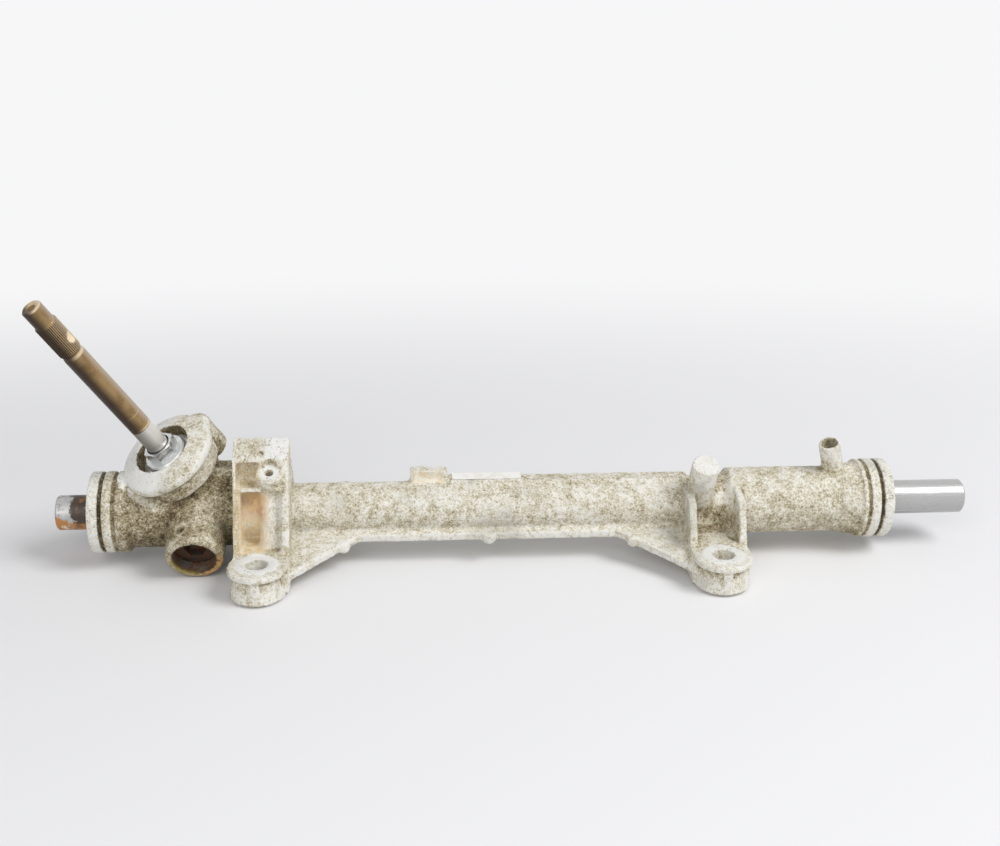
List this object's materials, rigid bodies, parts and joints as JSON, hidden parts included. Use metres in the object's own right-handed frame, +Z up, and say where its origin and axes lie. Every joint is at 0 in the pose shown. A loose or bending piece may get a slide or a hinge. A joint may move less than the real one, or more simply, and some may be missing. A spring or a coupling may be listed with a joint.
{
  "type": "steering rack",
  "caption": "Rack-and-pinion steering gear: cast housing with two bolt ears, a sliding toothed bar and an angled pinion on a splined input shaft.",
  "frame": {"origin": "midway between the two ear bolt holes, on the plane of the ear undersides", "axes": "+X along the rack bar towards its plain end, +Y from the ears towards the rack bar, +Z up along the ear bolts"},
  "size_m": [0.613, 0.1172, 0.1948],
  "materials": {
    "cast_aluminium": "weathered cast",
    "bar_steel": "ground",
    "shaft_steel": "browned",
    "bearing_steel": "ground",
    "cage_steel": "pressed",
    "spring_steel": "oiled",
    "plug_steel": "plated",
    "rubber": "matt",
    "guide_alloy": "turned",
    "liner_plastic": "matt",
    "bush_plastic": "matt"
  },
  "bodies": {
    "housing": {"rack_housing": "cast_aluminium", "pinion_bearing_outer_race": "bearing_steel", "needle_cup": "bearing_steel", "pinion_plug": "plug_steel", "pinion_seal": "rubber", "rack_guide_yoke": "guide_alloy", "yoke_liner": "liner_plastic", "yoke_o_ring": "rubber", "yoke_spring": "spring_steel", "yoke_plug": "plug_steel", "rack_bush": "bush_plastic", "bush_o_rings": "rubber"},
    "rack": {"rack_bar": "bar_steel"},
    "pinion": {"pinion_shaft": "shaft_steel", "pinion_bearing_inner_race": "bearing_steel", "pinion_circlip": "spring_steel"},
    "ball_set": {"pinion_bearing_balls": "bearing_steel", "pinion_bearing_cage": "cage_steel"},
    "needle_set": {"needle_rollers": "bearing_steel", "needle_cage": "cage_steel"}
  },
  "joints": [
    {"name": "rack_slide", "type": "slide", "parent": "housing", "child": "rack", "axis": [1, 0, 0], "range_m": [-0.084, 0.05]},
    {"name": "pinion_spin", "type": "hinge", "parent": "housing", "child": "pinion", "pos_m": [-0.192, 0.07239, 0.03903], "axis": [-0.4384, -0.3713, 0.8185], "range_deg": [-633.8, 377.4]},
    {"name": "ball_set_spin", "type": "hinge", "parent": "housing", "child": "ball_set", "pos_m": [-0.20142, 0.06441, 0.05663], "axis": [-0.4384, -0.3713, 0.8185], "range_deg": [-241.9, 144.2]},
    {"name": "needle_set_spin", "type": "hinge", "parent": "housing", "child": "needle_set", "pos_m": [-0.1806, 0.08204, 0.01775], "axis": [-0.4384, -0.3713, 0.8185], "range_deg": [-282.1, 168.1]}
  ],
  "couplings": [
    {"joint": "pinion_spin", "follows": "rack_slide", "rad_per_m": 131.58},
    {"joint": "ball_set_spin", "follows": "rack_slide", "rad_per_m": 50.158},
    {"joint": "needle_set_spin", "follows": "rack_slide", "rad_per_m": 58.512}
  ]
}
